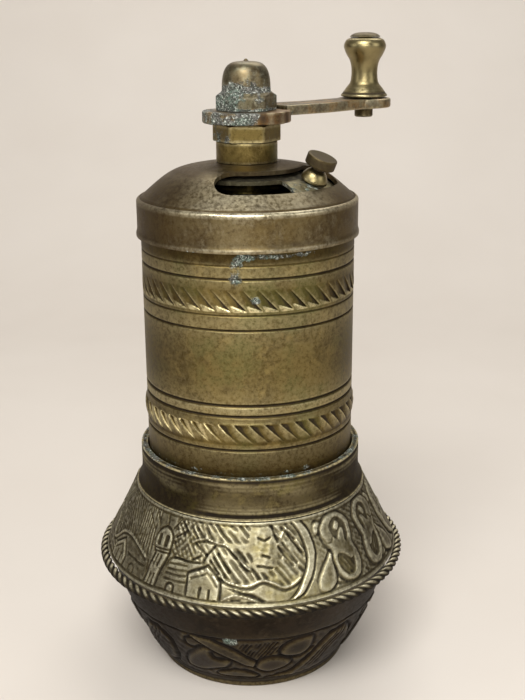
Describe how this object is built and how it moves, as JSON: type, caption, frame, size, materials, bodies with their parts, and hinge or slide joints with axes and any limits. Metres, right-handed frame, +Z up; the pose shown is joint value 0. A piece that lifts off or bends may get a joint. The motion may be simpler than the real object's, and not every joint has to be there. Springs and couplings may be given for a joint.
{
  "type": "hand spice grinder",
  "caption": "Brass hand mill for spices: embossed cup with a rope-edged belly, straight tube, domed cap with a filler slot and shutter, bent crank with a turned knob.",
  "frame": {"origin": "centre of the foot's flat face, on the table", "axes": "+Z up along the shaft; -Y towards the viewer, where the filler slot stands open; +X to the viewer's right, where the crank points at rest, half turned to the back"},
  "size_m": [0.069, 0.069, 0.1368],
  "materials": {
    "dark_brass": "cast and engraved brass with a nearly black brown patina",
    "pale_brass": "brass worn pale on what is raised, with dark recesses",
    "brown_brass": "brown aged brass with a soft shine and some green crust",
    "aged_brass": "olive-gold aged brass with a soft shine",
    "cast_iron": "bare cast iron, oiled",
    "steel": "turned steel gone dull"
  },
  "bodies": {
    "cup": {"base_bowl": "dark_brass", "rope_ring": "pale_brass", "base_shoulder": "pale_brass", "base_collar": "brown_brass"},
    "barrel": {"body_tube": "aged_brass", "outer_burr": "cast_iron", "bridge_bar": "steel", "bridge_screw_1": "steel", "bridge_screw_2": "steel", "cap": "brown_brass", "neck_bush": "aged_brass", "neck_ring": "aged_brass", "neck_nut": "aged_brass", "bush_nut": "aged_brass", "shutter_washer": "aged_brass"},
    "shutter": {"shutter_plate": "pale_brass", "shutter_knob": "pale_brass"},
    "thrust": {"thrust_ball": "steel"},
    "adjuster": {"adjusting_screw": "steel"},
    "crank": {"shaft": "steel", "inner_burr": "cast_iron", "cross_pin": "steel", "crank_arm": "brown_brass", "acorn_nut": "brown_brass", "knob_pin": "brown_brass"},
    "knob": {"crank_knob": "pale_brass"}
  },
  "joints": [
    {"name": "barrel_lift", "type": "slide", "parent": "cup", "child": "barrel", "axis": [0, 0, 1], "range_m": [0, 0.013]},
    {"name": "shutter_turn", "type": "hinge", "parent": "barrel", "child": "shutter", "pos_m": [0, 0, 0.108], "axis": [0, 0, 1], "range_deg": [-72, 17]},
    {"name": "shaft_lift", "type": "slide", "parent": "barrel", "child": "thrust", "axis": [0, 0, 1], "range_m": [0, 0.0006]},
    {"name": "adjuster_turn", "type": "hinge", "parent": "thrust", "child": "adjuster", "pos_m": [0, 0, 0.035], "axis": [0, 0, 1], "range_deg": [0, 270]},
    {"name": "crank_turn", "type": "hinge", "parent": "thrust", "child": "crank", "pos_m": [0, 0, 0.12], "axis": [0, 0, 1], "continuous": true},
    {"name": "knob_spin", "type": "hinge", "parent": "crank", "child": "knob", "pos_m": [0.02646, 0.0226, 0.129], "axis": [0, 0, 1], "continuous": true}
  ],
  "couplings": [
    {"joint": "adjuster_turn", "follows": "shaft_lift", "rad_per_m": 7854}
  ]
}
